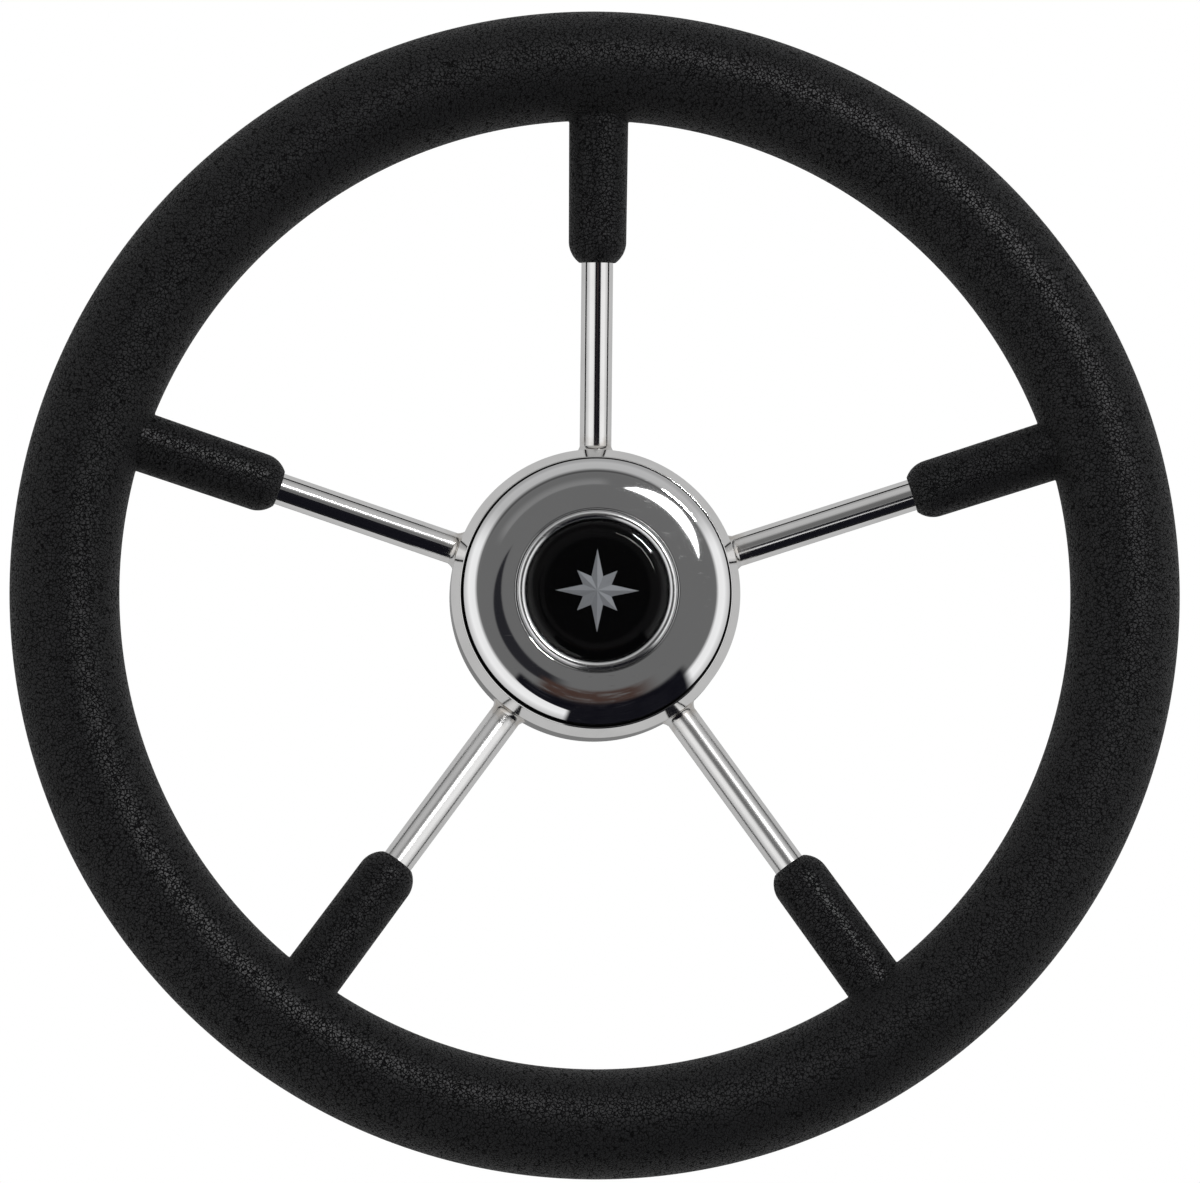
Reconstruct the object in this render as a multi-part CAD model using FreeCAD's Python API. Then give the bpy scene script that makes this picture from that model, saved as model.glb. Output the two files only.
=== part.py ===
import FreeCAD, Part
import math
import os

# Boat steering wheel: a foam grip moulded over a steel ring, five round bars as spokes, a drum-shaped hub
# with a tapered boss for the helm's shaft, and a chromed cap that pulls out of the drum.
# Millimetres. The wheel stands upright: +Z is up, +X is right, and Y is the axis on which it turns.
# The origin is the centre of the taper's mouth on the hub's rear face. The driver sits on the -Y side,
# and "forward" below is the distance from the rear face towards the driver, so y = -forward.

# Rim: the outside diameter is over the foam
WHEEL_DIAMETER = 350.0
GRIP_DIAMETER = 32.8
RING_BAR_DIAMETER = 10.0
RIM_FORWARD = 52.0

# Spokes: the first one stands straight up, and each axis runs slightly back from the rim to the drum
SPOKE_COUNT = 5
SPOKE_DIAMETER = 9.5
SPOKE_SET_BACK = 10.0
SPOKE_WELD_LEG = 1.6

# Boots: foam sleeves that run from the rim down each spoke
BOOT_REACH = 42.4
BOOT_DIAMETER_AT_RIM = 18.0
BOOT_DIAMETER_AT_END = 17.3
BOOT_END_ROUND_LENGTH = 6.4
BOOT_END_LIP = 0.7
BOOT_BLEND = 1.2

# Hub drum: a thick cup whose open mouth faces the driver, with a steep bevel round the outside of its lip
DRUM_DIAMETER = 86.6
DRUM_WALL = 4.4
DRUM_DEPTH = 28.0
DRUM_FLOOR = 3.0
DRUM_CORNER = 6.0
LIP_FORWARD_OF_RIM = 2.8
LIP_LAND = 0.4
LIP_BEVEL_HEIGHT = 3.8
LIP_EDGE_ROUND = 0.4

# Hub boss: turned from bar and bored for the standard three-quarter-inch marine shaft, whose taper is
# 1 in 12 on diameter
TAPER_MOUTH_DIAMETER = 19.05
TAPER_ON_DIAMETER = 1.0 / 12.0
KEYWAY_WIDTH = 4.76
KEYWAY_DEPTH = 2.38
BOSS_DIAMETER = 36.0
BOSS_CHAMFER = 1.2
BOSS_MOUTH_CHAMFER = 0.6
SPIGOT_DIAMETER = 28.0
SPIGOT_PROUD = 1.5
BOSS_WELD_LEG = 3.0

# Cap: a thin chromed moulding that sits on a ledge inside the drum's mouth
CAP_LEDGE = 1.4
CAP_GAP = 0.6
CAP_SEAT_DEPTH = 2.0
CAP_WALL = 2.2
CAP_CROWN = 9.5
CAP_DOME_RADIUS = 200.0
CAP_EDGE_ROUND = 9.0
CAP_EDGE_TILT = 40.0
CAP_INNER_ROUND = 2.8
SKIRT_LENGTH = 10.0
SKIRT_WALL = 3.0
SKIRT_CLEARANCE = 0.3

# Seal: a rubber ring in a groove round the cap's skirt
SEAL_SECTION = 1.6
SEAL_CLEARANCE = 0.1
SEAL_GROOVE_SLACK = 0.5
SEAL_BEHIND_SEAT = 5.0

# Badge: a beaded ring, a black disc and a clear dome in a round recess of the cap
BADGE_RING_DIAMETER = 48.0
BADGE_RING_BAND = 3.7
BADGE_RING_PROUD = 1.5
BADGE_RING_ROUND = 1.5
BADGE_RECESS_DEPTH = 1.8
BADGE_RECESS_CLEARANCE = 0.3
BADGE_PLATE_THICKNESS = 1.0
BADGE_PLATE_CLEARANCE = 0.1
LENS_CROWN = 2.8

SPIN_CENTRE = FreeCAD.Vector(0, 0, 0)
SPIN_AXIS = FreeCAD.Vector(0, 1, 0)
UP = FreeCAD.Vector(0, 0, 1)

grip_radius = GRIP_DIAMETER / 2
ring_radius = WHEEL_DIAMETER / 2 - grip_radius
rim_inner_radius = ring_radius - grip_radius
bar_radius = RING_BAR_DIAMETER / 2
spoke_radius = SPOKE_DIAMETER / 2
drum_radius = DRUM_DIAMETER / 2
mouth_radius = drum_radius - DRUM_WALL
lip_forward = RIM_FORWARD + LIP_FORWARD_OF_RIM
floor_forward = lip_forward - DRUM_DEPTH
seat_forward = lip_forward - CAP_SEAT_DEPTH
step_radius = mouth_radius + CAP_LEDGE
cap_radius = step_radius - CAP_GAP
skirt_radius = mouth_radius - SKIRT_CLEARANCE
boss_front = floor_forward + DRUM_FLOOR + SPIGOT_PROUD
dome_top = lip_forward + CAP_CROWN
badge_bore_radius = BADGE_RING_DIAMETER / 2 - BADGE_RING_BAND
recess_radius = BADGE_RING_DIAMETER / 2 + BADGE_RECESS_CLEARANCE
plate_radius = badge_bore_radius - BADGE_PLATE_CLEARANCE


def at(radius, forward):
    """A point of a turned piece's outline."""
    return FreeCAD.Vector(radius, -forward, 0)


def rounded(corners):
    """A closed outline through corners (x, y, rounding), each rounded by an arc tangent to both sides."""
    points = [FreeCAD.Vector(x, y, 0) for x, y, rounding in corners]
    edges = []
    joins = []
    for i, corner in enumerate(corners):
        here = points[i]
        to_last = (points[i - 1] - here).normalize()
        to_next = (points[(i + 1) % len(points)] - here).normalize()
        rounding = corner[2]
        if rounding == 0:
            joins.append((here, here))
            continue
        half = to_last.getAngle(to_next) / 2
        reach = rounding / math.tan(half)
        start = here + to_last * reach
        end = here + to_next * reach
        inward = (to_last + to_next).normalize()
        middle = here + inward * (rounding / math.sin(half) - rounding)
        edges.append(Part.Arc(start, middle, end).toShape())
        joins.append((start, end))
    for i, join in enumerate(joins):
        edges.append(Part.makeLine(joins[i - 1][1], join[0]))
    return Part.Wire(Part.__sortEdges__(edges))


def turned(wire, axis=SPIN_AXIS):
    """The solid that an outline sweeps when it turns once about an axis through the origin."""
    solid = Part.Face(wire).revolve(SPIN_CENTRE, axis, 360)
    if solid.Volume < 0:
        solid.reverse()
    return solid


def turned_on_spin_axis(corners):
    """A turned piece from corners (radius, forward, rounding)."""
    return turned(rounded([(radius, -forward, rounding) for radius, forward, rounding in corners]))


def disc(radius, back, front):
    """A solid cylinder on the spin axis, from one forward distance to another."""
    return Part.makeCylinder(radius, front - back, FreeCAD.Vector(0, -back, 0), FreeCAD.Vector(0, -1, 0))


def torus(centre_radius, section_radius, forward):
    """A plain ring about the spin axis."""
    return Part.makeTorus(centre_radius, section_radius, FreeCAD.Vector(0, -forward, 0), SPIN_AXIS)


def dome_height(radius):
    """How far forward the cap's dome is, at a radius."""
    return dome_top - CAP_DOME_RADIUS + math.sqrt(CAP_DOME_RADIUS ** 2 - radius ** 2)


def spoke_ends(number):
    """Where a spoke's axis leaves the drum's wall, and where it reaches the ring's centre line."""
    turn = math.radians(360.0 * (number - 1) / SPOKE_COUNT)
    outward = FreeCAD.Vector(math.sin(turn), 0, math.cos(turn))
    foot = outward * drum_radius + FreeCAD.Vector(0, SPOKE_SET_BACK - RIM_FORWARD, 0)
    tip = outward * ring_radius + FreeCAD.Vector(0, -RIM_FORWARD, 0)
    return foot, tip


spoke_run = spoke_ends(1)[1] - spoke_ends(1)[0]
spoke_length = spoke_run.Length


def on_spoke(solid, number):
    """A solid made along +Z from the drum's wall, moved onto a spoke's axis."""
    foot, tip = spoke_ends(number)
    lean = FreeCAD.Rotation(UP, spoke_run)
    turn = FreeCAD.Rotation(SPIN_AXIS, 360.0 * (number - 1) / SPOKE_COUNT)
    placed = solid.copy()
    placed.Placement = FreeCAD.Placement(foot, turn * lean)
    return placed


def spoke_bar():
    """A bar along +Z that runs from inside the drum's wall to the ring's centre line."""
    buried = SPOKE_DIAMETER
    return Part.makeCylinder(spoke_radius, spoke_length + buried, UP * -buried)


def drum_outside():
    """The drum's wall as a full cylinder, for the ends that are shaped to it."""
    return disc(drum_radius, floor_forward, lip_forward)


def make_ring():
    return torus(ring_radius, bar_radius, RIM_FORWARD)


def make_spoke(number):
    """A bar whose ends are hollowed to fit the drum and the ring."""
    return on_spoke(spoke_bar(), number).cut(drum_outside()).cut(make_ring())


def make_spoke_welds():
    """A bead round each spoke's foot, flared at 45 degrees onto the drum's round wall."""
    toe = spoke_radius + SPOKE_WELD_LEG
    sunk = drum_radius - math.sqrt(drum_radius ** 2 - toe ** 2) + SPOKE_WELD_LEG
    cone = Part.makeCone(toe + sunk, spoke_radius, SPOKE_WELD_LEG + sunk, UP * -sunk)
    beads = []
    for number in range(1, SPOKE_COUNT + 1):
        bead = on_spoke(cone, number).cut(on_spoke(spoke_bar(), number)).cut(drum_outside())
        beads += bead.Solids
    return Part.Compound(beads)


def boot():
    """One boot along +Z: a tapered sleeve from the ring's centre line to its rounded end."""
    end_radius = BOOT_DIAMETER_AT_END / 2
    rim_radius = BOOT_DIAMETER_AT_RIM / 2
    slant = spoke_length / (ring_radius - drum_radius)
    start = (rim_inner_radius - BOOT_REACH - drum_radius) * slant
    flat_radius = spoke_radius + BOOT_END_LIP
    drop = end_radius - flat_radius
    arc_radius = (BOOT_END_ROUND_LENGTH ** 2 + drop ** 2) / (2 * drop)
    half_turn = math.asin(BOOT_END_ROUND_LENGTH / arc_radius) / 2
    shoulder = start + BOOT_END_ROUND_LENGTH
    middle_radius = end_radius - arc_radius * (1 - math.cos(half_turn))
    middle_height = shoulder - arc_radius * math.sin(half_turn)
    corner = FreeCAD.Vector(flat_radius, 0, start)
    side_low = FreeCAD.Vector(end_radius, 0, shoulder)
    side_high = FreeCAD.Vector(rim_radius, 0, spoke_length)
    edges = [
        Part.makeLine(UP * start, corner),
        Part.Arc(corner, FreeCAD.Vector(middle_radius, 0, middle_height), side_low).toShape(),
        Part.makeLine(side_low, side_high),
        Part.makeLine(side_high, UP * spoke_length),
        Part.makeLine(UP * spoke_length, UP * start),
    ]
    return turned(Part.Wire(edges), UP)


def is_crease(edge):
    """Whether an edge of the joined foam lies where a boot runs into the rim."""
    middle = edge.valueAt((edge.FirstParameter + edge.LastParameter) / 2)
    radius = math.hypot(middle.x, middle.z)
    from_ring = math.hypot(radius - ring_radius, middle.y + RIM_FORWARD)
    smooth = isinstance(edge.Curve, (Part.Circle, Part.Line))
    return not smooth and abs(from_ring - grip_radius) < 0.1


def make_grip():
    """The rim's foam and the boots as one moulding, hollow where the ring and the spokes lie in it."""
    foam = torus(ring_radius, grip_radius, RIM_FORWARD)
    for number in range(1, SPOKE_COUNT + 1):
        foam = foam.fuse(on_spoke(boot(), number))
    creases = [edge for edge in foam.Edges if is_crease(edge)]
    foam = foam.makeFillet(BOOT_BLEND, creases)
    foam = foam.cut(make_ring())
    for number in range(1, SPOKE_COUNT + 1):
        foam = foam.cut(on_spoke(spoke_bar(), number))
    return foam


def make_drum():
    """The cup, its ledge for the cap, its bevelled lip and the round hole for the boss's spigot."""
    floor_front = floor_forward + DRUM_FLOOR
    spigot = SPIGOT_DIAMETER / 2
    return turned_on_spin_axis(
        [
            (spigot, floor_forward, 0),
            (drum_radius, floor_forward, DRUM_CORNER),
            (drum_radius, lip_forward - LIP_BEVEL_HEIGHT, LIP_EDGE_ROUND),
            (step_radius + LIP_LAND, lip_forward, LIP_EDGE_ROUND),
            (step_radius, lip_forward, 0),
            (step_radius, seat_forward, 0),
            (mouth_radius, seat_forward, 0),
            (mouth_radius, floor_front, max(DRUM_CORNER - DRUM_WALL, 0)),
            (spigot, floor_front, 0),
        ]
    )


def taper_radius(forward):
    """The radius of the tapered bore."""
    return (TAPER_MOUTH_DIAMETER - forward * TAPER_ON_DIAMETER) / 2


def make_boss():
    """The turned boss with its spigot through the drum's floor, its tapered bore and its keyway."""
    body = BOSS_DIAMETER / 2
    spigot = SPIGOT_DIAMETER / 2
    blank = turned_on_spin_axis(
        [
            (taper_radius(0) + BOSS_MOUTH_CHAMFER, 0, 0),
            (body - BOSS_CHAMFER, 0, 0),
            (body, BOSS_CHAMFER, 0),
            (body, floor_forward, 0),
            (spigot, floor_forward, 0),
            (spigot, boss_front, 0),
            (taper_radius(boss_front), boss_front, 0),
            (taper_radius(BOSS_MOUTH_CHAMFER), BOSS_MOUTH_CHAMFER, 0),
        ]
    )
    back = -1.0
    front = boss_front + 1.0
    left = -KEYWAY_WIDTH / 2
    corners = [
        FreeCAD.Vector(left, -back, 0),
        FreeCAD.Vector(left, -back, taper_radius(back) + KEYWAY_DEPTH),
        FreeCAD.Vector(left, -front, taper_radius(front) + KEYWAY_DEPTH),
        FreeCAD.Vector(left, -front, 0),
    ]
    side = Part.Face(Part.makePolygon(corners + corners[:1]))
    return blank.cut(side.extrude(FreeCAD.Vector(KEYWAY_WIDTH, 0, 0)))


def make_boss_weld():
    """A 45-degree fillet between the boss and the back of the drum's floor."""
    body = BOSS_DIAMETER / 2
    return turned_on_spin_axis(
        [
            (body, floor_forward, 0),
            (body, floor_forward - BOSS_WELD_LEG, 0),
            (body + BOSS_WELD_LEG, floor_forward, 0),
        ]
    )


def seal_groove_radius():
    return mouth_radius - SEAL_CLEARANCE - SEAL_SECTION


def recess_floor():
    return dome_height(recess_radius) - BADGE_RECESS_DEPTH


def tilted(centre_radius, centre_forward, radius, tilt):
    """The point of an arc where its surface is tilted that far back from facing the driver."""
    return at(centre_radius + radius * math.sin(tilt), centre_forward + radius * math.cos(tilt))


def domed_plug(radius, back, dome_radius, edge_round, edge_tilt):
    """A thick disc under a dome on the dome's centre, whose face runs into a tighter arc round its edge."""
    dome_centre = dome_top - CAP_DOME_RADIUS
    centre_radius = radius - edge_round * math.sin(edge_tilt)
    reach = dome_radius - edge_round
    join_tilt = math.asin(centre_radius / reach)
    centre_forward = dome_centre + reach * math.cos(join_tilt)
    edge = tilted(centre_radius, centre_forward, edge_round, edge_tilt)
    middle = tilted(centre_radius, centre_forward, edge_round, (join_tilt + edge_tilt) / 2)
    join = tilted(centre_radius, centre_forward, edge_round, join_tilt)
    halfway = tilted(0, dome_centre, dome_radius, join_tilt / 2)
    top = tilted(0, dome_centre, dome_radius, 0)
    edges = [
        Part.makeLine(at(0, back), at(radius, back)),
        Part.makeLine(at(radius, back), edge),
        Part.Arc(edge, middle, join).toShape(),
        Part.Arc(join, halfway, top).toShape(),
        Part.makeLine(top, at(0, back)),
    ]
    return turned(Part.Wire(edges))


def make_cap():
    """The cap: a domed face with a rounded edge, a skirt with a seal groove, and the badge's recess."""
    hollow_radius = skirt_radius - SKIRT_WALL
    skirt_back = seat_forward - SKIRT_LENGTH
    face = domed_plug(cap_radius, seat_forward, CAP_DOME_RADIUS, CAP_EDGE_ROUND, math.radians(CAP_EDGE_TILT))
    body = face.fuse(disc(skirt_radius, skirt_back, seat_forward)).removeSplitter()
    inner_dome = CAP_DOME_RADIUS - CAP_WALL
    hollow = domed_plug(hollow_radius, skirt_back, inner_dome, CAP_INNER_ROUND, math.pi / 2)
    floor = recess_floor()
    hollow = hollow.cut(disc(recess_radius + CAP_WALL, floor - CAP_WALL, dome_top))
    body = body.cut(hollow).cut(disc(recess_radius, floor, dome_top))
    groove_width = SEAL_SECTION + SEAL_GROOVE_SLACK
    groove_back = seat_forward - SEAL_BEHIND_SEAT - groove_width / 2
    groove = disc(cap_radius, groove_back, groove_back + groove_width)
    groove = groove.cut(disc(seal_groove_radius(), groove_back, groove_back + groove_width))
    return body.cut(groove)


def make_seal():
    section_radius = SEAL_SECTION / 2
    return torus(seal_groove_radius() + section_radius, section_radius, seat_forward - SEAL_BEHIND_SEAT)


def make_badge_ring():
    """The beaded ring: flat at the back, with a round front that stands proud of the cap."""
    outer = BADGE_RING_DIAMETER / 2
    back = recess_floor()
    front = dome_height(recess_radius) + BADGE_RING_PROUD
    return turned_on_spin_axis(
        [
            (badge_bore_radius, back, 0),
            (outer, back, 0),
            (outer, front, BADGE_RING_ROUND),
            (badge_bore_radius, front, BADGE_RING_ROUND),
        ]
    )


def make_badge_plate():
    return disc(plate_radius, recess_floor(), recess_floor() + BADGE_PLATE_THICKNESS)


def make_badge_lens():
    """Clear resin poured on the plate: its top is half an ellipse, flat in the middle, steep at the edge."""
    base = recess_floor() + BADGE_PLATE_THICKNESS
    ellipse = Part.Ellipse(at(0, base), plate_radius, LENS_CROWN)
    quarter = Part.ArcOfEllipse(ellipse, -math.pi / 2, 0).toShape()
    edges = [
        quarter,
        Part.makeLine(at(0, base + LENS_CROWN), at(0, base)),
        Part.makeLine(at(0, base), at(plate_radius, base)),
    ]
    return turned(Part.Wire(Part.__sortEdges__(edges)))


pieces = {
    "grip": make_grip(),
    "rim_ring": make_ring(),
    "spoke_welds": make_spoke_welds(),
    "hub_drum": make_drum(),
    "hub_boss": make_boss(),
    "boss_weld": make_boss_weld(),
    "hub_cap": make_cap(),
    "cap_seal": make_seal(),
    "badge_ring": make_badge_ring(),
    "badge_plate": make_badge_plate(),
    "badge_lens": make_badge_lens(),
}
for spoke_number in range(1, SPOKE_COUNT + 1):
    pieces["spoke_%d" % spoke_number] = make_spoke(spoke_number)

os.makedirs("parts", exist_ok=True)
for name, piece in pieces.items():
    piece.exportStep(os.path.join("parts", name + ".step"))
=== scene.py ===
"""Dresses a boat steering wheel: moulded foam grip, polished bar spokes, steel hub drum and chromed cap.

Metres throughout. The wheel stands upright and turns on the Y axis, +Z is up, +X is right, and the driver is on
the -Y side. "Forward" is the distance from the hub's rear face towards the driver, so y = -forward.
"""

import math

import bmesh
import bpy
from mathutils import Matrix, Vector


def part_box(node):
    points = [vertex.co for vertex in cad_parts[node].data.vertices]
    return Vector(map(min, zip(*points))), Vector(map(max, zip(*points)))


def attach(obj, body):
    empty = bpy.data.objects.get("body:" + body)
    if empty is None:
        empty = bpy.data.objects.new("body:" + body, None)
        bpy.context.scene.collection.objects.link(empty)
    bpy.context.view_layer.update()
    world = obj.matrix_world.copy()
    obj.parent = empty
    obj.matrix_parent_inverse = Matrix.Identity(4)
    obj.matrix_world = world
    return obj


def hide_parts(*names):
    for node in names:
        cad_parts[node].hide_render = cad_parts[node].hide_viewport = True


bl_info = {
    "name": "Boat steering wheel",
    "version": (1, 0, 0),
    "blender": (4, 5, 0),
    "location": "3D View > Sidebar > Wheel",
    "description": "Models the finished surfaces of a five-spoke boat steering wheel and the studio it stands in",
    "category": "Object",
}

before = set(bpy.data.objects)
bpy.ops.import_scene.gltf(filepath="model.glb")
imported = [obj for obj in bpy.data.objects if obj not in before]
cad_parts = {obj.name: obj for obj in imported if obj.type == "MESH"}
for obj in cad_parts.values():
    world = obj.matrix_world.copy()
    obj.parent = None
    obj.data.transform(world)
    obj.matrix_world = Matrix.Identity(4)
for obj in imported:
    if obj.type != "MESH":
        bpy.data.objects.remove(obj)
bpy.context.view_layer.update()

UP = Vector((0, 0, 1))
SPIN_AXIS = Vector((0, 1, 0))
FULL_TURN = 2 * math.pi
STAND_UP = Matrix.Rotation(math.pi / 2, 4, "X")


def span(node, axis):
    """The lowest and highest value of a node along one axis."""
    low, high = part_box(node)
    return low[axis], high[axis]


# The places that the other pieces share
GRIP_RADIUS = (span("grip", 1)[1] - span("grip", 1)[0]) / 2
RING_RADIUS = span("grip", 2)[1] - GRIP_RADIUS
RIM_FORWARD = -sum(span("grip", 1)) / 2
LIP_FORWARD = -span("hub_drum", 1)[0]
FLOOR_FORWARD = -span("hub_drum", 1)[1]
LIP_RADIUS = span("hub_drum", 2)[1]
CAP_RADIUS = span("hub_cap", 2)[1]
CAP_BACK = -span("hub_cap", 1)[1]
BADGE_FLOOR = -span("badge_plate", 1)[1]
BADGE_TOP = -span("badge_plate", 1)[0]
BADGE_RING_RADIUS = span("badge_ring", 2)[1]
BADGE_RING_FRONT = -span("badge_ring", 1)[0]
LENS_FRONT = -span("badge_lens", 1)[0]


# ---------------------------------------------------------------- sizes and colours that a user would change


def length(name, description, default):
    return bpy.props.FloatProperty(name=name, description=description, default=default, unit="LENGTH", precision=5)


def number(name, description, default):
    return bpy.props.FloatProperty(name=name, description=description, default=default, precision=3)


def angle(name, description, degrees):
    return bpy.props.FloatProperty(
        name=name, description=description, default=math.radians(degrees), subtype="ANGLE", unit="ROTATION"
    )


def colour(name, description, default):
    return bpy.props.FloatVectorProperty(
        name=name, description=description, default=default, subtype="COLOR", size=3, min=0, max=1
    )


class GripSizes(bpy.types.PropertyGroup):
    grain: length("Grain", "Spacing of the pebbles in the moulded foam", 0.0009)
    grain_depth: length("Grain depth", "How deep the grain is", 0.00026)
    boot_reach: length("Boot reach", "How far a boot comes in from the rim's inner edge", 0.0424)
    boot_rim_radius: length("Boot radius at the rim", "Half the boot's thickness where it leaves the rim", 0.009)
    boot_end_radius: length("Boot radius at its end", "Half the boot's thickness by its end", 0.00865)
    boot_round: length("Boot end round", "How long the rounded end of a boot is", 0.0064)
    boot_lip: length("Boot lip", "Width of the flat foam face round the bar", 0.0007)


class SpokeSizes(bpy.types.PropertyGroup):
    count: bpy.props.IntProperty(name="Count", description="How many spokes the wheel has", default=5)
    radius: length("Radius", "Half the bar's thickness", 0.00475)
    drum_radius: length("Drum radius", "Radius of the drum's wall, which the bars meet", 0.0433)
    foot_forward: length("Foot forward", "How far forward the bar's axis meets the drum", 0.042)
    weld_reach: length("Weld reach", "How far the weld runs up the bar", 0.0034)
    weld_spread: length("Weld spread", "How far the weld runs out over the drum", 0.0016)
    weld_bite: length("Weld bite", "How deep the weld goes into the bar", 0.0004)
    shine_lean: angle("Shine lean", "How far a bar's shine is turned towards the hub", 6)


class HubSizes(bpy.types.PropertyGroup):
    wall: length("Drum wall", "Thickness of the drum's wall", 0.0044)
    floor: length("Drum floor", "Thickness of the drum's floor", 0.003)
    corner: length("Drum corner", "Rounding of the drum's rear corner", 0.006)
    spigot_radius: length("Spigot radius", "Radius of the hole in the drum's floor", 0.014)
    lip_land: length("Lip land", "Width of the flat land at the lip's front", 0.0004)
    lip_bevel: length("Lip bevel", "How far back the steep bevel round the lip runs", 0.0038)
    lip_edge: length("Lip edge", "Rounding of the bevel's two edges", 0.0004)
    ledge: length("Ledge", "Width of the ledge that carries the cap", 0.0014)
    seat_depth: length("Seat depth", "How deep the ledge lies behind the lip", 0.002)
    dome_radius: length("Dome radius", "Radius of the cap's domed face", 0.2)
    crown: length("Crown", "How far the dome would rise over the lip", 0.0095)
    cap_round: length("Cap edge round", "Rounding of the cap's edge", 0.009)
    cap_tilt: angle("Cap edge tilt", "How steep the cap's rounded edge gets before its upright side", 40)
    cap_inner_round: length("Cap inner round", "Rounding of the hollow behind the dome", 0.0028)
    cap_wall: length("Cap wall", "Thickness of the cap", 0.0022)
    skirt_radius: length("Skirt radius", "Outer radius of the cap's skirt", 0.0386)
    skirt_wall: length("Skirt wall", "Thickness of the cap's skirt", 0.003)
    groove_radius: length("Seal groove radius", "Radius at the bottom of the seal's groove", 0.0372)
    groove_front: length("Seal groove front", "How far forward the groove begins", 0.04885)
    groove_back: length("Seal groove back", "How far forward the groove ends", 0.04675)
    # Painted shade in the gap round the cap: where it begins and how it fades
    gap_shade_back: length("Shading back", "How far forward the dirt in the gap round the cap begins", 0.0475)
    gap_shade_fade: length("Shading fade", "Half the distance over which the dirt fades at its front and back", 0.0004)
    gap_shade_edge: length("Shading edge", "Distance over which the dirt fades at its sides", 0.00003)


class BadgeSizes(bpy.types.PropertyGroup):
    recess_radius: length("Recess radius", "Radius of the round recess in the cap", 0.0243)
    ring_band: length("Ring band", "Width of the bright ring", 0.0026)
    ring_round: length("Ring round", "Rounding of the bright ring's edges", 0.00125)
    disc_radius: length("Disc radius", "Radius of the black disc and the resin over it", 0.0213)
    lens_step: length("Lens gap", "How far the resin lies off the plate", 0.00002)
    lens_edge: length("Lens edge", "Height of the resin's upright edge", 0.0005)
    star_radius: length("Star radius", "Reach of the compass star's long points", 0.0125)
    star_short: length("Star short points", "Reach of the compass star's short points", 0.0085)
    star_waist: length("Star waist", "Radius of the notches between its points", 0.0046)
    star_relief: length("Star relief", "How far the star's ridges rise from its edge", 0.0004)
    star_edge: length("Star edge", "Height of the star's upright edge", 0.0001)


class Finishes(bpy.types.PropertyGroup):
    foam: colour("Foam", "Colour of the grip", (0.0022, 0.0023, 0.0029))
    steel: colour("Steel", "Colour of the polished steel", (0.84, 0.835, 0.83))
    chrome: colour("Chrome", "Colour of the plated cap", (0.85, 0.85, 0.855))
    turned: colour("Turned steel", "Colour of the machined boss", (0.62, 0.615, 0.61))
    heat: colour("Heat tint", "Straw tint by the welds", (0.42, 0.36, 0.29))
    rubber: colour("Rubber", "Colour of the seal", (0.02, 0.02, 0.021))
    badge: colour("Badge", "Colour of the badge's disc", (0.0009, 0.0009, 0.001))
    star: colour("Star", "Colour of the compass star", (0.17, 0.176, 0.187))


class StudioSettings(bpy.types.PropertyGroup):
    distance: length("Camera distance", "From the rim's centre to the camera", 3.0)
    below: angle("Camera below", "How far the camera is below the spin axis", 4.5)
    left: angle("Camera left", "How far the camera is to the left of the spin axis", 2.3)
    roll: angle("Camera roll", "How far the camera is turned about its own axis", 0.365)
    aim_right: length("Aim right", "How far right of the rim's centre the camera aims", 0.00123)
    aim_up: length("Aim up", "How far above the rim's centre the camera aims", 0.00049)
    view_width: length("View width", "Width of the view at the rim", 0.35863)
    floor_drop: length("Floor drop", "How far the floor is below the rim", 0.30)
    strip: number("Strip light", "How much brighter than white the narrow strip light is", 6.0)
    softbox_off: angle("Softbox angle", "How far the softbox is off the way that the cap's middle mirrors", 30)
    softbox_turn: angle("Softbox turn", "In which direction it is off, from the right towards the top", 47)
    softbox_distance: length("Softbox distance", "From the rim's centre to the softbox", 3.0)
    softbox_length: length("Softbox length", "Length of the softbox, across the way in which it is off", 0.55)
    softbox_width: length("Softbox width", "Width of the softbox", 0.2)
    softbox_power: number("Softbox power", "Watts that the softbox gives", 46.0)


# ---------------------------------------------------------------- modelling


def wire(mesh, corners, closed=False):
    """Joins corners (radius, forward) into a wire in the XY plane."""
    points = [mesh.verts.new((radius, -forward, 0)) for radius, forward in corners]
    for first, second in zip(points, points[1:]):
        mesh.edges.new((first, second))
    if closed:
        mesh.edges.new((points[-1], points[0]))
    return points


def round_corner(mesh, corner, radius, segments=8):
    """Rounds a corner of a wire with an arc that is tangent to both sides."""
    sides = [edge.other_vert(corner).co - corner.co for edge in corner.link_edges]
    half = sides[0].angle(sides[1]) / 2
    bmesh.ops.bevel(
        mesh, geom=[corner], offset=radius / math.tan(half), offset_type="OFFSET", segments=segments,
        profile=0.5, affect="VERTICES", material=-1,
    )


def arc(mesh, start, centre, turn, steps):
    """Draws an arc on from a wire's end, about a centre (radius, forward), and returns its last point."""
    made = bmesh.ops.spin(
        mesh, geom=[start], cent=(centre[0], -centre[1], 0), axis=(0, 0, 1), angle=turn, steps=steps, use_merge=False
    )
    return next(item for item in made["geom_last"] if isinstance(item, bmesh.types.BMVert))


def turn_about(mesh, axis=SPIN_AXIS, steps=192):
    """Spins the whole wire once about an axis through the origin and closes the result."""
    bmesh.ops.spin(
        mesh, geom=mesh.verts[:] + mesh.edges[:], cent=(0, 0, 0), axis=axis, angle=FULL_TURN, steps=steps,
        use_merge=True,
    )
    bmesh.ops.remove_doubles(mesh, verts=mesh.verts[:], dist=2e-6)
    bmesh.ops.recalc_face_normals(mesh, faces=mesh.faces[:])


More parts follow.
